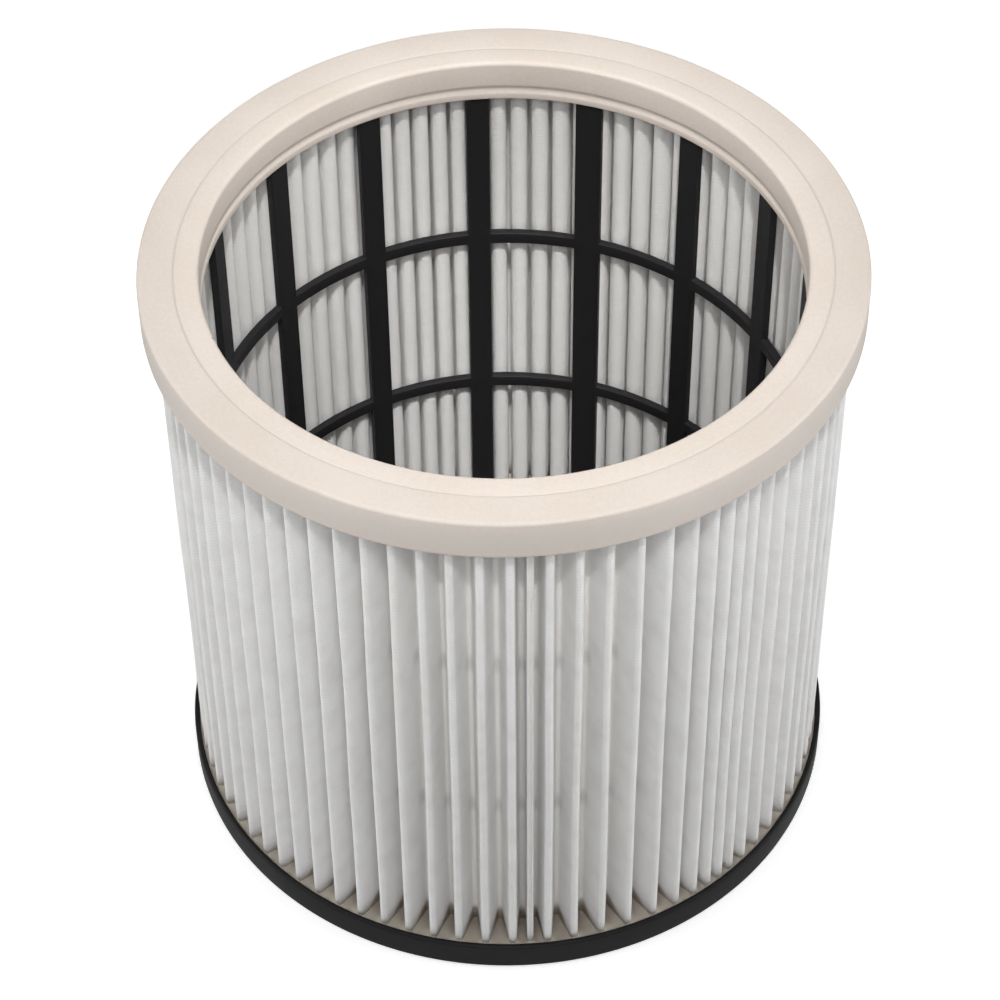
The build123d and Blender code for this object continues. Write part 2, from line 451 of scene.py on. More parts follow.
@dataclass(frozen=True)
class FabricFinish:
    """White spunbond sheet with fine embossed rows, which lets some light through."""

    name: str = "white_spunbond"
    colour: tuple = (0.965, 0.962, 0.958, 1.0)
    shade: tuple = (0.86, 0.854, 0.845, 1.0)
    pressed_share: float = 0.5
    relief: float = 0.07 * MM
    fibre_scale: tuple = (1400.0, 2400.0, 1.0)
    row_pitch: float = 1.3 * MM
    row_fade: tuple = (0.08, 0.42)
    dash_pitch: float = 2.1 * MM
    dash_fade: tuple = (0.04, 0.14)
    through_colour: tuple = (0.97, 0.957, 0.935, 1.0)
    through_share: float = 0.10
    valley_radius: float = 0.0
    # Painted shade: a warmer, darker tint towards the bottom of the valleys.
    valley_shade_tint: tuple = (0.965, 0.942, 0.908, 1.0)
    valley_shade_fade: tuple = (0.5 * MM, 6.0 * MM)
    # Painted shadow of the dark hoops behind the sheet, in its valleys.
    hoop_shadow_colour: tuple = (0.56, 0.55, 0.535, 1.0)
    hoop_heights: tuple = ()
    hoop_shadow_fade: tuple = (0.3 * MM, 5.5 * MM)
    hoop_shadow_depth: tuple = (0.5 * MM, 4.0 * MM)
    glue_colour: tuple = (0.52, 0.465, 0.40, 1.0)
    glue_top: float = 0.0
    glue_rise: tuple = (5.5 * MM, 0.3 * MM)
    glue_depth: tuple = (0.0, 8.5 * MM)
    glue_fade: tuple = (-0.6 * MM, 3.2 * MM)
    glue_waviness: float = 1.4 * MM

    def material(self, effects: Effects) -> bpy.types.Material:
        """Build the finish.

        Args:
            effects: The shared node groups.

        Returns:
            The material.
        """
        material, graph, shader, output = new_material(self.name)
        placed = effects.place(graph, Effect.RADIAL).outputs
        depth = graph.math("SUBTRACT", placed["Radius"], self.valley_radius)
        cloud = effects.value(graph, Effect.MOTTLE, Scale=120.0, Strength=2.2)
        fibres = self.fibres(graph)
        rows = self.embossed_rows(graph)
        speckle = graph.ramp(graph.math("ADD", cloud, fibres), (0.0, 1.4), (0.0, 1.0))
        colour = graph.blend(speckle, self.colour, self.shade)
        pressed = graph.math("MULTIPLY", graph.math("SUBTRACT", 1.0, rows), self.pressed_share)
        colour = graph.blend(pressed, colour, self.shade)
        # Painted shade, warm and darker, towards the valleys.
        colour = graph.blend(graph.ramp(depth, self.valley_shade_fade, (0.6, 0.0)), colour, self.valley_shade_tint)
        # Painted shadow of the hoops, seen through the sheet.
        hoops = self.painted_hoop_shadows(graph, depth, placed["Height"])
        colour = graph.blend(hoops, colour, self.hoop_shadow_colour)
        glued = self.wicked_glue(graph, depth, placed["Height"], cloud)
        relief = graph.math("ADD", rows, graph.math("MULTIPLY", fibres, 0.5))
        graph.feed(
            shader,
            Base_Color=graph.blend(glued, colour, self.glue_colour),
            Roughness=0.85,
            Specular_IOR_Level=0.25,
            Normal=graph.bump(0.9, self.relief, relief),
        )
        through = graph.add("ShaderNodeBsdfTranslucent", Color=self.through_colour).outputs[0]
        layers = {"in0": self.through_share, "in1": shader.outputs[0], "in2": through}
        graph.feed(output, Surface=graph.add("ShaderNodeMixShader", **layers).outputs[0])
        return material

    @staticmethod
    def along_sheet(graph: Graph) -> Socket:
        """Place on the flat sheet, in metres along and across it."""
        return graph.add("ShaderNodeUVMap", {"uv_map": "sheet"}).outputs[0]

    def fibres(self, graph: Graph) -> Socket:
        """Short pressed fibres, longer along the sheet than across it."""
        stretched = graph.add(
            "ShaderNodeMapping", Vector=self.along_sheet(graph), Scale=self.fibre_scale
        ).outputs[0]
        return graph.add("ShaderNodeTexNoise", Vector=stretched, Scale=1.0, Detail=1.0).outputs[0]

    def embossed_rows(self, graph: Graph) -> Socket:
        """Press rows of small dashes, every other row shifted by half a dash.

        Args:
            graph: The material's graph.

        Returns:
            1 where the sheet stands proud, and 0 where it is pressed.
        """
        parts = graph.add("ShaderNodeSeparateXYZ", Vector=self.along_sheet(graph)).outputs
        row = graph.math("DIVIDE", parts[1], self.row_pitch)
        odd = graph.math("MODULO", graph.math("FLOOR", row), 2.0)
        dash = graph.math("DIVIDE", parts[0], self.dash_pitch)
        shifted = graph.math("ADD", dash, graph.math("MULTIPLY", odd, 0.5))
        beside_row = graph.ramp(graph.math("PINGPONG", row, 0.5), self.row_fade, (0.0, 1.0))
        past_dash = graph.ramp(graph.math("PINGPONG", shifted, 0.5), self.dash_fade, (1.0, 0.0))
        return graph.math("MAXIMUM", beside_row, past_dash)

    def painted_hoop_shadows(self, graph: Graph, depth: Socket, height: Socket) -> Socket:
        """Paint the hoops' shadows, seen through the sheet, at the bottom of its valleys.

        Args:
            graph: The material's graph.
            depth: Distance out from the valleys.
            height: Height over the floor.

        Returns:
            The painted shadows' share of the colour.
        """
        total = 0.0
        for middle in self.hoop_heights:
            away = graph.apart(height, middle)
            total = graph.math("ADD", total, graph.ramp(away, self.hoop_shadow_fade, (1.0, 0.0)))
        return graph.math("MULTIPLY", total, graph.ramp(depth, self.hoop_shadow_depth, (0.45, 0.0)))

    def wicked_glue(self, graph: Graph, depth: Socket, height: Socket, cloud: Socket) -> Socket:
        """Let the adhesive soak up the sheet, highest in the valleys.

        Args:
            graph: The material's graph.
            depth: Distance out from the valleys.
            height: Height over the floor.
            cloud: Mottle that makes its edge uneven.

        Returns:
            The adhesive's share of the colour.
        """
        uneven = graph.math("ADD", height, graph.math("MULTIPLY", cloud, self.glue_waviness))
        drawn_up = graph.ramp(depth, self.glue_depth, self.glue_rise)
        edge = tuple(self.glue_top + offset for offset in self.glue_fade)
        return graph.ramp(graph.math("SUBTRACT", uneven, drawn_up), edge, (0.92, 0.0))


@dataclass(frozen=True)
class PlasticFinish:
    """Black moulded plastic, slightly dusty."""

    name: str = "black_plastic"
    colour: tuple = (0.0090, 0.0086, 0.0096, 1.0)
    dusty: tuple = (0.016, 0.0155, 0.0155, 1.0)
    roughness: float = 0.5
    shine: float = 0.22
    relief: float = 0.06 * MM

    def material(self, effects: Effects) -> bpy.types.Material:
        """Build the finish.

        Args:
            effects: The shared node groups.

        Returns:
            The material.
        """
        material, graph, shader, _ = new_material(self.name)
        cloud = effects.value(graph, Effect.MOTTLE, Scale=45.0, Strength=1.0)
        grain = effects.value(graph, Effect.GRAIN, Scale=1900.0, Coarse=0.5)
        dusted = graph.ramp(cloud, (-0.1, 0.35), (0.0, 0.7))
        graph.feed(
            shader,
            Base_Color=graph.blend(dusted, self.colour, self.dusty),
            Roughness=graph.math("ADD", self.roughness, graph.math("MULTIPLY", cloud, 0.18)),
            Specular_IOR_Level=self.shine,
            Normal=graph.bump(0.22, self.relief, grain),
        )
        return material


@dataclass(frozen=True)
class ResinFinish:
    """Beige cured adhesive, with painted shade that darkens it towards its inner radius, where it
    lies between the pleats.
    """

    name: str = "beige_adhesive"
    colour: tuple = (0.50, 0.455, 0.395, 1.0)
    # Painted shade between the pleats.
    painted_shade_colour: tuple = (0.36, 0.31, 0.26, 1.0)
    relief: float = 0.15 * MM
    inner_radius: float = 0.0
    outer_radius: float = 0.0

    def material(self, effects: Effects) -> bpy.types.Material:
        """Build the finish.

        Args:
            effects: The shared node groups.

        Returns:
            The material.
        """
        material, graph, shader, _ = new_material(self.name)
        cloud = effects.value(graph, Effect.MOTTLE, Scale=170.0, Strength=1.3)
        grain = effects.value(graph, Effect.GRAIN, Scale=1300.0, Coarse=0.7)
        radius = effects.place(graph, Effect.RADIAL).outputs["Radius"]
        # Painted shade, strongest at the inner radius and faint at the outer one.
        inside = graph.ramp(radius, (self.inner_radius, self.outer_radius), (0.75, 0.1))
        graph.feed(
            shader,
            Base_Color=graph.blend(graph.math("ADD", inside, cloud), self.colour, self.painted_shade_colour),
            Roughness=graph.ramp(grain, (0.2, 0.8), (0.42, 0.6)),
            Normal=graph.bump(0.35, self.relief, grain),
        )
        return material


# ------------------------------------------------------------------ turned pieces


@dataclass(frozen=True)
class Corner:
    """One corner of a turned outline, with the radius that its edge is rounded to."""

    radius: float
    height: float
    round: float = 0.0
    segments: int = 4


@dataclass
class TurnedPiece:
    """Solid of revolution round the element's axis."""

    outline: list[Corner]
    steps: int = 360
    merge_distance: float = 0.001 * MM
    near: float = 0.01 * MM

    def mesh(self) -> bmesh.types.BMesh:
        """Spin the outline and round its edges.

        Returns:
            A closed mesh with its faces outwards.
        """
        bm = bmesh.new()
        corners = [bm.verts.new((corner.radius, 0.0, corner.height)) for corner in self.outline]
        closing = corners[1:] + corners[:1]
        on_axis = self.outline[0].radius == 0.0
        pairs = [(a, b) for a, b in zip(corners, closing) if not (on_axis and b == corners[0])]
        edges = [bm.edges.new(pair) for pair in pairs]
        bmesh.ops.spin(
            bm,
            geom=corners + edges,
            cent=(0.0, 0.0, 0.0),
            axis=AXIS,
            angle=2.0 * math.pi,
            steps=self.steps,
            use_merge=True,
        )
        bmesh.ops.remove_doubles(bm, verts=bm.verts, dist=self.merge_distance)
        bmesh.ops.recalc_face_normals(bm, faces=bm.faces)
        for corner in self.outline:
            if corner.round:
                self.round_edge(bm, corner)
        return bm

    def round_edge(self, bm: bmesh.types.BMesh, corner: Corner) -> None:
        """Bevel the hoop of edges that one corner of the outline has swept.

        Args:
            bm: The spun mesh.
            corner: The corner.
        """
        swept = {
            vert
            for vert in bm.verts
            if abs(vert.co.z - corner.height) < self.near
            and abs(math.hypot(vert.co.x, vert.co.y) - corner.radius) < self.near
        }
        hoop = [edge for edge in bm.edges if edge.verts[0] in swept and edge.verts[1] in swept]
        bmesh.ops.bevel(
            bm,
            geom=hoop,
            offset=corner.round,
            segments=corner.segments,
            profile=0.5,
            affect="EDGES",
            material=-1,
            clamp_overlap=True,
        )


@dataclass
class SealRing:
    """Soft ring cast round the top of the pleats and the cage."""

    finish: FoamFinish
    bore_radius: float = 89.8 * MM
    top_edge: float = 1.1 * MM
    bore_edge: float = 1.3 * MM
    lower_edge: float = 2.2 * MM
    lip_edge: float = 0.5 * MM
    line_inset: float = 10.8 * MM
    line_width: float = 0.8 * MM
    line_depth: float = 0.25 * MM
    line_edge: float = 0.15 * MM
    cove_below_top: float = 10.6 * MM
    cove_width: float = 3.0 * MM
    cove_depth: float = 0.45 * MM
    cove_edge: float = 0.5 * MM
    cove_root: float = 0.6 * MM
    ripple: float = 0.12 * MM
    ripple_scale: float = 28.0
    bore_ripple_share: float = 0.4

    def build(self, effects: Effects) -> bpy.types.Object:
        """Build the ring.

        Args:
            effects: The shared node groups.

        Returns:
            The finished piece.
        """
        low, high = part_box("seal_ring")
        outer, underside, top, bore = high.x, low.z, high.z, self.bore_radius
        line, half_line = outer - self.line_inset, self.line_width / 2
        cove, cove_root = top - self.cove_below_top, bore + self.cove_depth
        half_cove, flat = self.cove_width / 2, self.cove_width / 5
        outline = [
            Corner(bore, underside, self.lip_edge, 3),
            Corner(outer, underside, self.lower_edge, 6),
            Corner(outer, top, self.top_edge, 5),
            Corner(line + half_line, top, self.line_edge, 2),
            Corner(line, top - self.line_depth, self.line_edge, 2),
            Corner(line - half_line, top, self.line_edge, 2),
            Corner(bore, top, self.bore_edge, 5),
            Corner(bore, cove + half_cove, self.cove_edge, 3),
            Corner(cove_root, cove + flat, self.cove_root, 3),
            Corner(cove_root, cove - flat, self.cove_root, 3),
            Corner(bore, cove - half_cove, self.cove_edge, 3),
        ]
        bm = TurnedPiece(outline).mesh()
        self.soften(bm, outer)
        foam = self.finish.material(effects)
        return finished_piece(bm, "foam_ring", foam, "seal_ring", 40.0)

    def soften(self, bm: bmesh.types.BMesh, outer: float) -> None:
        """Give the cast surface its slight unevenness, inside the ring's true outline.

        Args:
            bm: The ring's mesh.
            outer: Its outer radius.
        """
        for vert in bm.verts:
            uneven = noise.noise(vert.co * self.ripple_scale) * self.ripple
            out = math.hypot(vert.co.x, vert.co.y)
            on_side = out > outer - self.top_edge
            scale = 1.0 + (-abs(uneven) if on_side else uneven * self.bore_ripple_share) / out
            vert.co.x *= scale
            vert.co.y *= scale


@dataclass
class ClosedCap:
    """Moulded cap with a rim, a potting channel and a dam."""

    finish: PlasticFinish
    floor: float = 1.6 * MM
    rim_wall: float = 1.8 * MM
    dam_outer: float = 88.0 * MM
    dam_wall: float = 2.0 * MM
    dam_top: float = 9.8 * MM
    rim_round: float = 0.8 * MM
    rim_inner_round: float = 0.48 * MM
    foot_round: float = 1.2 * MM
    dam_round: float = 0.5 * MM

    def build(self, effects: Effects) -> bpy.types.Object:
        """Build the cap.

        Args:
            effects: The shared node groups.

        Returns:
            The finished piece.
        """
        low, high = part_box("end_cap")
        outer, base, top = high.x, low.z, high.z
        rim_inner, dam_inner = outer - self.rim_wall, self.dam_outer - self.dam_wall
        outline = [
            Corner(0.0, base),
            Corner(outer, base, self.foot_round, 5),
            Corner(outer, top, self.rim_round, 5),
            Corner(rim_inner, top, self.rim_inner_round, 4),
            Corner(rim_inner, self.floor, self.dam_round, 2),
            Corner(self.dam_outer, self.floor, self.dam_round, 2),
            Corner(self.dam_outer, self.dam_top, self.dam_round, 3),
            Corner(dam_inner, self.dam_top, self.dam_round, 3),
            Corner(dam_inner, self.floor, self.dam_round, 3),
            Corner(0.0, self.floor),
        ]
        bm = TurnedPiece(outline).mesh()
        plastic = self.finish.material(effects)
        return finished_piece(bm, "closed_cap", plastic, "end_cap", 40.0)


# --------------------------------------------------------------- the pleated sheet


@dataclass
class PleatLayout:
    """Where the pleat tips stand round the element. Angles are in degrees."""

    count: int = 83
    seam_angle: float = 3.7
    seam_pitch: float = 6.2
    crowded_tip: float = 7.4
    crowded_share: float = 0.38
    slack_tip: float = 2.6
    slack_share: float = 0.1
    spread_tips: float = 2.6
    loose_tip: float = 80.6
    loose_share: float = 0.09
    loose_spread_tips: float = 1.3
    dense_tip: float = 43.5
    dense_share: float = 0.17
    dense_spread_tips: float = 9.9
    wander_share: float = 0.03
    wander_waves: int = 9

    def weight(self, index: int) -> float:
        """Relative width of the pleat between one tip and the next.

        Args:
            index: Number of the first of the two tips.

        Returns:
            The width, with 1 for an even pleat.
        """
        crowded = self.crowded_share * self.bell(index, self.crowded_tip, self.spread_tips)
        slack = self.slack_share * self.bell(index, self.slack_tip, self.spread_tips)
        loose = self.loose_share * self.bell(index, self.loose_tip, self.loose_spread_tips)
        dense = self.dense_share * self.bell(index, self.dense_tip, self.dense_spread_tips)
        wander = self.wander_share * math.sin(2 * math.pi * self.wander_waves * index / self.count)
        return 1.0 - crowded - dense + slack + loose + wander

    @staticmethod
    def bell(index: int, middle: float, spread: float) -> float:
        """Height of a bell curve that is 1 at its middle."""
        return math.exp(-(((index - middle) / spread) ** 2))

    def tips(self) -> list[float]:
        """Stand the tips round the element, from the +X side of the seam.

        Returns:
            Their angles, growing.
        """
        weights = [self.weight(index) for index in range(self.count - 1)]
        scale = (360.0 - self.seam_pitch) / sum(weights)
        angles = [self.seam_angle + self.seam_pitch / 2]
        for weight in weights:
            angles.append(angles[-1] + scale * weight)
        return angles


@dataclass(frozen=True)
class Drift:
    """Smooth noise over the pleats: its pace from tip to tip, its pace up them and its layer."""

    per_tip: float
    per_height: float
    layer: float

    def at(self, tip: float, rise: float) -> float:
        """Noise at a tip, and at a height from 0 to 1."""
        return noise.noise(Vector((tip * self.per_tip, rise * self.per_height, self.layer)))


@dataclass
class PleatedSheet:
    """One long sheet of filter fabric, folded, bent round and glued at its two ends."""

    finish: FabricFinish
    layout: PleatLayout = field(default_factory=PleatLayout)
    thickness: float = 0.6 * MM
    cage_clearance: float = 0.1 * MM
    tip_fold: float = 1.0 * MM
    valley_share: float = 0.15
    valley_swell: float = 0.21
    fold_sweep: float = 76.0
    tip_steps: int = 8
    valley_steps: int = 8
    flank_steps: int = 3
    rows: int = 22
    sink: float = 2.0 * MM
    sway: float = 0.45 * MM
    lean: Drift = Drift(0.83, 1.3, 4.0)
    bow: Drift = Drift(0.83, 4.0, 9.0)
    bow_share: float = 0.35
    slump: float = 0.7 * MM
    sag: Drift = Drift(0.61, 1.6, 17.0)
    free_power: float = 0.7
    fin_gap: float = 0.60 * MM
    fin_flare: float = 0.08 * MM
    flare_power: int = 4
    fin_below_tips: float = 0.5 * MM
    fin_root: float = 1.6 * MM
    root_sweep: float = 140.0
    root_share: float = 0.9
    fin_steps: int = 4
    glue_below_fin: float = 0.35 * MM
    glue_overlap: float = 0.02 * MM

    def __post_init__(self) -> None:
        """Take the sheet's place from the frame."""
        low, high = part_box("pleated_media")
        _, cage_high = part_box("inner_cage")
        self.bottom, self.top = low.z, high.z
        self.tall = self.top - self.bottom + 2 * self.sink
        self.tip_radius = max(high.x, high.y, -low.x, -low.y) - self.thickness / 2
        self.valley_radius = cage_high.x + self.thickness / 2 + self.cage_clearance

    def fold(
        self, angle: float, crest: float, facing: int, radius: float, steps: int
    ) -> list[Vector]:
        """Bend the sheet round one fold.

        Args:
            angle: Where the fold stands.
            crest: Radius of the fold's crest.
            facing: 1 for a tip, and -1 for a valley.
            radius: How sharply it is bent.
            steps: Stretches that it is divided into.

        Returns:
            Its points on the ground, in the direction of growing angle.
        """
        middle = crest - facing * radius
        points = []
        for step in range(steps + 1):
            bend = math.radians(self.fold_sweep * (2 * step / steps - 1))
            out = middle + facing * radius * math.cos(bend)
            points.append(beside(angle, radius * math.sin(bend), out))
        return points

    def valley(self, angle: float, following: float) -> list[Vector]:
        """Fold the valley between two tips, sharp beside the seam and wide opposite to it.

        Args:
            angle: Angle of the first tip.
            following: Angle of the next one.

        Returns:
            Its points on the ground.
        """
        middle = (angle + following) / 2
        pitch = math.radians(following - angle) * self.valley_radius
        away = (1.0 - math.cos(math.radians(middle))) / 2
        radius = (self.valley_share + self.valley_swell * away**2) * pitch
        return self.fold(middle, self.valley_radius, -1, radius, self.valley_steps)

    def fold_line(self) -> list[tuple[Vector, int]]:
        """Fold the sheet's middle line from one glued end to the other.

        Returns:
            Points on the ground, each with the number of the tip that it belongs to.
        """
        tips = self.layout.tips()
        line = [(point, GLUED) for point in self.fin_side(1)]
        for index, angle in enumerate(tips):
            tip = self.fold(angle, self.tip_radius, 1, self.tip_fold, self.tip_steps)
            self.extend(line, tip, index)
            if index + 1 < len(tips):
                self.extend(line, self.valley(angle, tips[index + 1]), index)
        root, *fin = reversed(self.fin_side(-1))
        self.extend(line, [root], len(tips) - 1)
        return line + [(point, GLUED) for point in fin]

    def extend(self, line: list[tuple[Vector, int]], fold: list[Vector], index: int) -> None:
        """Add a fold to the line, with the points of the flank that leads to it.

        Args:
            line: The line so far.
            fold: Points of the fold.
            index: Number of the tip that they belong to.
        """
        start, end = line[-1][0], fold[0]
        for step in range(1, self.flank_steps):
            line.append((start.lerp(end, step / self.flank_steps), index))
        line += [(point, index) for point in fold]

    def fin_side(self, side: int) -> list[Vector]:
        """Stand up one layer of the glued fin.

        Args:
            side: 1 for the layer on the side of growing angle, and -1 for the other.

        Returns:
            Points from its outer edge down to its root and round into the flank.
        """
        angle = self.layout.seam_angle
        outer = self.tip_radius - self.fin_below_tips
        root = self.valley_radius + self.fin_root
        points = []
        for step in range(self.fin_steps + 1):
            share = step / self.fin_steps
            across = self.fin_gap + self.fin_flare * (1 - share) ** self.flare_power
            points.append(beside(angle, side * across, outer + (root - outer) * share))
        for step in range(1, self.fin_steps + 1):
            bend = math.radians(self.root_sweep * step / self.fin_steps)
            across = self.fin_gap + self.fin_root * (1 - math.cos(bend)) * self.root_share
            points.append(beside(angle, side * across, root - self.fin_root * math.sin(bend)))
        return points

    def build(self, effects: Effects) -> bpy.types.Object:
        """Build the sheet.

        Args:
            effects: The shared node groups.

        Returns:
            The finished piece.
        """
        line = self.fold_line()
        bm = bmesh.new()
        run_layer = bm.verts.layers.float.new("run")
        tip_layer = bm.verts.layers.float.new("tip")
        run, before, verts = 0.0, line[0][0], []
        for point, index in line:
            run += (point - before).length
            before = point
            vert = bm.verts.new(point + AXIS * (self.bottom - self.sink))
            vert[run_layer], vert[tip_layer] = run, index
            verts.append(vert)
        strip = [bm.edges.new(pair) for pair in zip(verts, verts[1:])]
        for _ in range(self.rows):
            strip, grown = extrude(bm, strip)
            bmesh.ops.translate(bm, vec=AXIS * (self.tall / self.rows), verts=grown)
        self.lay_out(bm, run_layer)
        self.relax(bm, tip_layer)
        bmesh.ops.recalc_face_normals(bm, faces=bm.faces)
        fabric = self.finish.material(effects)
        piece = finished_piece(bm, "filter_sheet", fabric, "pleated_media", 60.0)
        thicken(piece, self.thickness, 0.0)
        LOG.info("filter_sheet: flat %.3f by %.3f m", self.tall, run)
        return piece

    def fill_seam(self, finish: ResinFinish, effects: Effects) -> bpy.types.Object:
        """Lay the strip of glue between the two layers of the fin.

        Args:
            finish: The glue's finish.
            effects: The shared node groups.

        Returns:
            The finished piece.
        """
        inner = self.valley_radius + self.fin_root
        outer = self.tip_radius - self.fin_below_tips - self.glue_below_fin
        wide = 2 * self.fin_gap - self.thickness + 2 * self.glue_overlap
        turned = Matrix.Rotation(math.radians(self.layout.seam_angle), 4, "Z")
        moved = Matrix.Translation((0.0, -(inner + outer) / 2, (self.bottom + self.top) / 2))
        shape = Matrix.Diagonal((wide, outer - inner, self.tall, 1.0))
        bm = bmesh.new()
        bmesh.ops.create_cube(bm, size=1.0, matrix=turned @ moved @ shape)
        glue = finish.material(effects)
        return finished_piece(bm, "seam_glue", glue, "pleated_media", 30.0)

    @staticmethod
    def lay_out(bm: bmesh.types.BMesh, run_layer: bmesh.types.BMLayerItem) -> None:
        """Map the sheet flat, with its length along U and its height along V, in metres.

        Args:
            bm: The sheet's mesh.
            run_layer: How far along the sheet each point lies.
        """
        layer = bm.loops.layers.uv.new("sheet")
        for face in bm.faces:
            for loop in face.loops:
                loop[layer].uv = (loop.vert[run_layer], loop.vert.co.z)

    def relax(self, bm: bmesh.types.BMesh, tip_layer: bmesh.types.BMLayerItem) -> None:
        """Let the pleats lean and sag a little between the ring and the potting.

        A valley stays on the cage, and a tip moves most. No point moves outwards, and the
        glued fin stays straight.

        Args:
            bm: The sheet's mesh.
            tip_layer: Number of the tip that each point belongs to.
        """
        depth = self.tip_radius - self.valley_radius
        for vert in bm.verts:
            tip = vert[tip_layer]
            if tip == GLUED:
                continue
            out = math.hypot(vert.co.x, vert.co.y)
            share = smooth_step((out - self.valley_radius) / depth)
            rise = (vert.co.z - self.bottom) / (self.top - self.bottom)
            free = math.sin(math.pi * min(max(rise, 0.0), 1.0)) ** self.free_power
            lean = self.lean.at(tip, rise) + self.bow_share * self.bow.at(tip, rise)
            sag = abs(self.sag.at(tip, rise))
            outward = Vector((vert.co.x, vert.co.y, 0.0)) / out
            vert.co += AXIS.cross(outward) * (lean * self.sway * share * free)
            vert.co -= outward * (sag * self.slump * share * free)


# --------------------------------------------------------------- cage and potting


@dataclass
class SupportCage:
    """Moulded cage of ribs and hoops, in one piece."""

    finish: PlasticFinish
    ribs: int = 16
    rib_width: float = 7.3 * MM
    closing_width: float = 8.5 * MM
    closing_rib: int = 7
    first_angle: float = 5.0
    wall: float = 2.5 * MM
    hoops: int = 2
    hoop_height: float = 4.4 * MM
    foot_hoop: float = 10.0 * MM
    edge_round: float = 0.35 * MM
    edge_segments: int = 3
    edge_angle: float = 50.0
    arc_steps: int = 6

    def levels(self) -> list[float]:
        """Stack the hoops' edges, from the cage's foot to its top.

        Returns:
            Their heights.
        """
        low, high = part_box("inner_cage")
        ring_low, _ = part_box("seal_ring")
        levels = [low.z, low.z + self.foot_hoop]
        for middle in self.hoop_middles():
            levels += [middle - self.hoop_height / 2, middle + self.hoop_height / 2]
        return levels + [ring_low.z, high.z]

    def hoop_middles(self) -> list[float]:
        """Space the hoops across the windows evenly up the cage.

        Returns:
            Heights of their middles.
        """
        low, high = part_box("inner_cage")
        step = (high.z - low.z) / (self.hoops + 1)
        return [low.z + step * (index + 1) for index in range(self.hoops)]

    def build(self, effects: Effects) -> bpy.types.Object:
        """Build the cage.

        Args:
            effects: The shared node groups.

        Returns:
            The finished piece.
        """
        _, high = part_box("inner_cage")
        inner = high.x - self.wall
        levels = self.levels()
        bm = bmesh.new()
        ring = [bm.verts.new(polar(inner, angle, levels[0])) for angle in self.stations(inner)]
        edges = [bm.edges.new(pair) for pair in zip(ring, ring[1:] + ring[:1])]
        for level, above in zip(levels, levels[1:]):
            edges, grown = extrude(bm, edges)
            bmesh.ops.translate(bm, vec=AXIS * (above - level), verts=grown)
        windows = [
            face for face in bm.faces if self.in_window(face.calc_center_median(), inner, levels)
        ]
        bmesh.ops.delete(bm, geom=windows, context="FACES")
        bmesh.ops.recalc_face_normals(bm, faces=bm.faces)
        plastic = self.finish.material(effects)
        piece = finished_piece(bm, "support_cage", plastic, "inner_cage", 35.0)
        thicken(piece, self.wall, 1.0)
        rounding = piece.modifiers.new("edges", "BEVEL")
        rounding.width = self.edge_round
        rounding.segments = self.edge_segments
        rounding.limit_method = "ANGLE"
        rounding.angle_limit = math.radians(self.edge_angle)
        return piece

    def half_width(self, index: int, radius: float) -> float:
        """Half of a rib's width, as an angle in degrees at a radius."""
        width = self.closing_width if index % self.ribs == self.closing_rib else self.rib_width
        return math.degrees(width / 2 / radius)

    def stations(self, inner: float) -> list[float]:
        """Divide the wall, with each rib's two edges and middle among the places.

        Args:
            inner: The cage's inner radius.

        Returns:
            The angles in degrees, growing.
        """
        angles = []
        pitch = 360.0 / self.ribs
        for index in range(self.ribs):
            middle = self.first_angle + index * pitch
            leaving = middle + self.half_width(index, inner)
            reaching = middle + pitch - self.half_width(index + 1, inner)
            angles += [middle - self.half_width(index, inner), middle]
            for step in range(self.arc_steps):
                angles.append(leaving + (reaching - leaving) * step / self.arc_steps)
        return angles

    def in_window(self, point: Vector, inner: float, levels: list[float]) -> bool:
        """Whether a point of the wall lies in one of the windows.

        Args:
            point: The point.
            inner: The cage's inner radius.
            levels: Heights of the hoops' edges.

        Returns:
            True between two ribs and two hoops.
        """
        stories = zip(levels[1::2], levels[2::2])
        if not any(below < point.z < above for below, above in stories):
            return False
        turn = math.degrees(math.atan2(point.x, -point.y)) - self.first_angle
        pitch = 360.0 / self.ribs
        index = round(turn / pitch)
        return abs(turn - index * pitch) > self.half_width(index, inner)


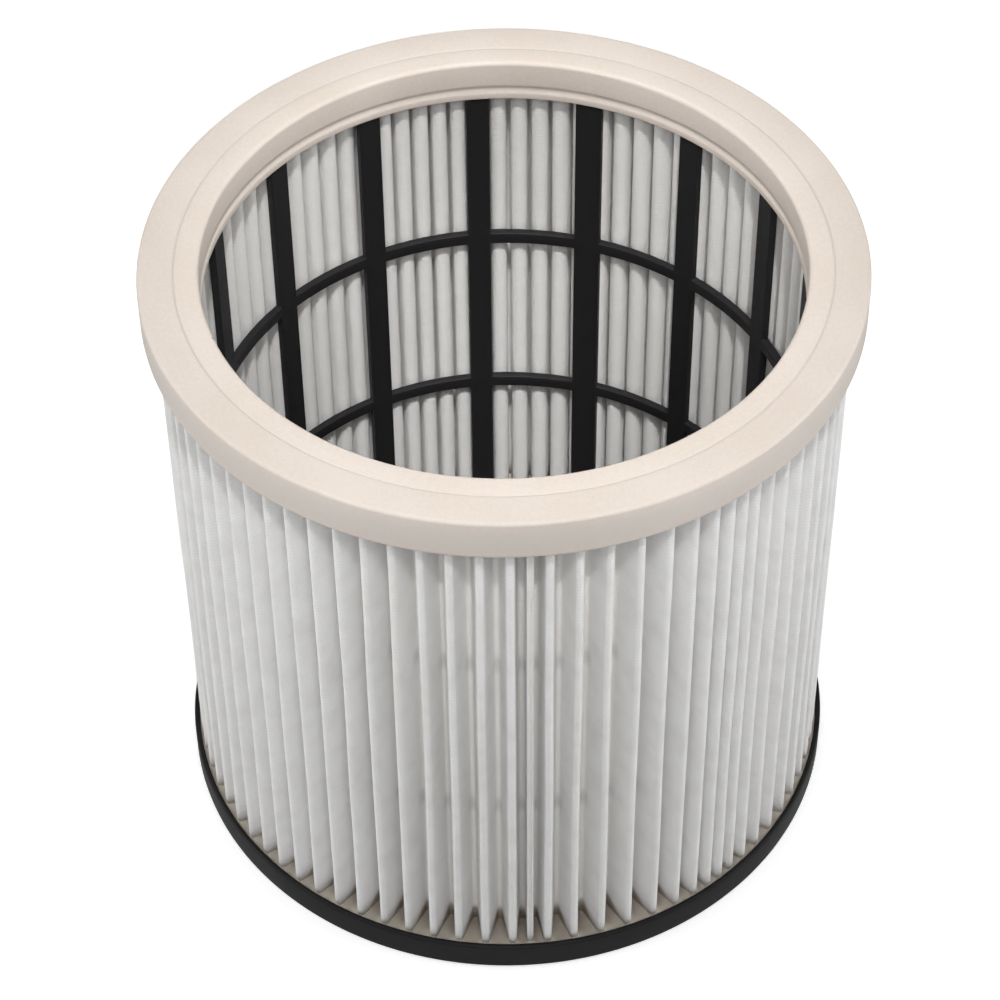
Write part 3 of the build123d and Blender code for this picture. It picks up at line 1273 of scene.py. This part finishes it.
@dataclass
class AdhesiveBed:
    """Cured adhesive in the cap's channel, which creeps up the sheet, the cage and the rim."""

    finish: ResinFinish
    inner: float = ClosedCap.dam_outer
    creep: float = 1.5 * MM
    creep_reach: float = 1.3 * MM
    creep_settled: float = 0.25
    wall_steepness: float = 2.5
    waviness: float = 0.25 * MM
    wave_scale: float = 90.0
    steps: int = 1120
    bands: int = 24

    def build(self, effects: Effects, neighbours: list[bpy.types.Object]) -> bpy.types.Object:
        """Build the bed.

        Args:
            effects: The shared node groups.
            neighbours: Pieces that stand in it.

        Returns:
            The finished piece.
        """
        low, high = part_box("potting")
        width = high.x - self.inner
        level = Matrix.Translation(AXIS * high.z)
        bm = bmesh.new()
        bmesh.ops.create_circle(bm, segments=self.steps, radius=self.inner, matrix=level)
        edges = list(bm.edges)
        for band in range(self.bands):
            edges, grown = extrude(bm, edges)
            before = self.inner + width * band / self.bands
            wider = (before + width / self.bands) / before
            bmesh.ops.scale(bm, vec=(wider, wider, 1.0), verts=grown)
        self.creep_up(bm, neighbours, high.x)
        lower, dropped = extrude(bm, [edge for edge in bm.edges if edge.is_boundary])
        for vert in dropped:
            vert.co.z = low.z
        bmesh.ops.bridge_loops(bm, edges=lower)
        bmesh.ops.recalc_face_normals(bm, faces=bm.faces)
        resin = self.finish.material(effects)
        return finished_piece(bm, "adhesive_bed", resin, "potting", 50.0)

    def creep_up(
        self, bm: bmesh.types.BMesh, neighbours: list[bpy.types.Object], outer: float
    ) -> None:
        """Raise the surface where it wets the sheet, the cage and the cap's walls.

        Args:
            bm: The bed's top surface.
            neighbours: Pieces that stand in it.
            outer: Its outer radius.
        """
        trees = [self.tree(piece) for piece in neighbours]
        for vert in bm.verts:
            out = math.hypot(vert.co.x, vert.co.y)
            near = min(tree.find_nearest(vert.co)[3] for tree in trees)
            walls = (outer - out, out - self.inner)
            near = min(near, *(gap * self.wall_steepness for gap in walls))
            vert.co.z += self.creep * math.exp(-max(near, 0.0) / self.creep_reach)
            wave = self.waviness * noise.noise(vert.co * self.wave_scale)
            vert.co.z += wave - self.creep * self.creep_settled

    @staticmethod
    def tree(piece: bpy.types.Object) -> BVHTree:
        """Make a search tree of a piece's own mesh.

        Args:
            piece: The piece.

        Returns:
            The tree.
        """
        bm = bmesh.new()
        bm.from_mesh(piece.data)
        found = BVHTree.FromBMesh(bm)
        bm.free()
        return found


# ------------------------------------------------------------------------- studio


@dataclass(frozen=True)
class Softbox:
    """One square soft light that faces the element."""

    name: str
    place: tuple
    size: float
    power: float

    def hang(self, target: Vector) -> None:
        """Hang the softbox so that it faces a point.

        Args:
            target: The point.
        """
        lamp = bpy.data.lights.new(self.name, "AREA")
        lamp.shape = "SQUARE"
        lamp.size = self.size
        lamp.energy = self.power
        turn_to(placed_object(self.name, lamp), Vector(self.place), target)


@dataclass(frozen=True)
class SpotLight:
    """One narrow light in front and above, which looks down into the element's mouth."""

    name: str
    distance: float
    elevation: float
    azimuth: float
    spread: float
    blend: float
    size: float
    power: float

    def hang(self, target: Vector) -> None:
        """Hang the light at its distance and angles from a point that it faces.

        Args:
            target: The point.
        """
        lamp = bpy.data.lights.new(self.name, "SPOT")
        lamp.spot_size = math.radians(self.spread)
        lamp.spot_blend = self.blend
        lamp.shadow_soft_size = self.size
        lamp.energy = self.power
        rise = math.radians(self.elevation)
        back = polar(math.cos(rise), self.azimuth, math.sin(rise))
        turn_to(placed_object(self.name, lamp), target + back * self.distance, target)


def turn_to(light: bpy.types.Object, place: Vector, target: Vector) -> None:
    """Put a light at its place and turn it to the point that it faces."""
    light.location = place
    light.rotation_euler = (target - place).to_track_quat("-Z", "Y").to_euler()


@dataclass
class Studio:
    """Plain pale floor, soft lights and the camera."""

    distance: float = 0.9289
    elevation: float = 42.25
    pitch: float = 46.68
    yaw: float = -0.151
    roll: float = -0.590
    lens: float = 113.3
    sensor: float = 36.0
    floor_size: float = 8.0
    floor_colour: tuple = (0.94, 0.94, 0.94, 1.0)
    floor_bounce: tuple = (0.75, 0.75, 0.75, 1.0)
    floor_glow: float = 0.42
    world_strength: float = 0.055
    mouth_light: SpotLight = SpotLight(
        name="mouth_light",
        distance=2.0,
        elevation=62.0,
        azimuth=5.0,
        spread=4.8,
        blend=0.5,
        size=0.10,
        power=290.4,
    )
    softboxes: tuple = (
        Softbox("top_light", place=(0.0, 0.1, 1.8), size=1.6, power=5.5),
        Softbox("front_light", place=(0.0, -1.25, 1.5), size=1.2, power=13.1),
        Softbox("left_light", place=(-1.6, 0.0, 0.8), size=1.2, power=15.3),
        Softbox("right_light", place=(1.6, 0.0, 0.8), size=1.2, power=15.3),
    )

    def build(self) -> None:
        """Add the camera, the floor, the lights and the pale surroundings."""
        low, high = CAD_BOX
        self.camera(high.z)
        self.floor(low.z)
        for softbox in self.softboxes:
            softbox.hang(AXIS * ((low.z + high.z) / 2))
        self.mouth_light.hang(AXIS * high.z)
        world = bpy.data.worlds.new("studio")
        world.use_nodes = True
        background = world.node_tree.nodes["Background"]
        Graph(world.node_tree).feed(background, Color=WHITE, Strength=self.world_strength)
        bpy.context.scene.world = world
        bpy.context.scene.view_settings.view_transform = "Standard"

    def camera(self, top: float) -> None:
        """Place the camera in front of and above the ring, and aim it into the mouth.

        Args:
            top: Height of the ring's top face.
        """
        elevation, pitch = math.radians(self.elevation), math.radians(self.pitch)
        yaw, roll = math.radians(self.yaw), math.radians(self.roll)
        rise = self.distance * math.sin(elevation)
        eye = Vector((0.0, -self.distance * math.cos(elevation), top + rise))
        level = Vector((math.cos(yaw), -math.sin(yaw), 0.0))
        ahead = Vector((math.sin(yaw), math.cos(yaw), 0.0)) * math.cos(pitch)
        ahead -= AXIS * math.sin(pitch)
        upright = level.cross(ahead)
        right = level * math.cos(roll) + upright * math.sin(roll)
        up = upright * math.cos(roll) - level * math.sin(roll)
        lens = bpy.data.cameras.new("camera")
        lens.lens = self.lens
        lens.sensor_width = self.sensor
        camera = placed_object("camera", lens)
        turned = Matrix((right, up, -ahead)).transposed().to_4x4()
        camera.matrix_world = Matrix.Translation(eye) @ turned
        bpy.context.scene.camera = camera

    def floor(self, height: float) -> None:
        """Lay the pale floor, which looks brighter to the camera than to the light.

        Args:
            height: Where it lies.
        """
        bm = bmesh.new()
        bmesh.ops.create_grid(bm, x_segments=2, y_segments=2, size=self.floor_size / 2)
        bmesh.ops.translate(bm, vec=AXIS * height, verts=bm.verts)
        mesh = bpy.data.meshes.new("floor")
        bm.to_mesh(mesh)
        bm.free()
        material, graph, shader, _ = new_material("pale_floor")
        seen = graph.add("ShaderNodeLightPath").outputs["Is Camera Ray"]
        graph.feed(
            shader,
            Base_Color=graph.blend(seen, self.floor_bounce, self.floor_colour),
            Emission_Strength=graph.math("MULTIPLY", seen, self.floor_glow),
            Emission_Color=WHITE,
            Roughness=0.9,
            Specular_IOR_Level=0.1,
        )
        material.cycles.emission_sampling = "NONE"
        mesh.materials.append(material)
        placed_object("floor", mesh)


def main() -> None:
    """Build the element piece by piece, then the studio round it."""
    logging.basicConfig(level=logging.INFO, format="%(name)s %(message)s")
    effects = Effects()
    _, cage_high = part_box("inner_cage")
    _, potting_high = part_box("potting")
    ring_low, ring_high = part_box("seal_ring")

    # Painted light: the cage's plastic is a lighter copy of the black plastic, to make up for the
    # dimmer light on its ribs.
    cage_plastic_painted_light = PlasticFinish(name="cage_black_plastic_painted_light", colour=(0.0175, 0.0168, 0.0182, 1.0))
    cage = SupportCage(cage_plastic_painted_light)
    cage_piece = cage.build(effects)

    fabric = FabricFinish(
        glue_top=potting_high.z,
        valley_radius=cage_high.x,
        hoop_heights=tuple(cage.hoop_middles()),
    )
    sheet = PleatedSheet(fabric)
    sheet_piece = sheet.build(effects)
    # The seam glue gets painted shade towards the valleys, between the fin's layers.
    seam_glue = ResinFinish(
        name="white_seam_glue",
        colour=(0.86, 0.845, 0.81, 1.0),
        painted_shade_colour=(0.74, 0.72, 0.68, 1.0),
        inner_radius=sheet.valley_radius,
        outer_radius=sheet.tip_radius,
    )
    sheet.fill_seam(seam_glue, effects)

    # The bed gets painted shade towards the cage, between the pleats.
    resin = ResinFinish(inner_radius=cage_high.x, outer_radius=potting_high.x)
    AdhesiveBed(resin).build(effects, [sheet_piece, cage_piece])

    foam = FoamFinish(
        line_radius=ring_high.x - SealRing.line_inset,
        outer_radius=ring_high.x,
        middle_height=(ring_low.z + ring_high.z) / 2,
    )
    SealRing(foam).build(effects)
    ClosedCap(PlasticFinish()).build(effects)
    Studio().build()


if __name__ == "__main__":
    main()
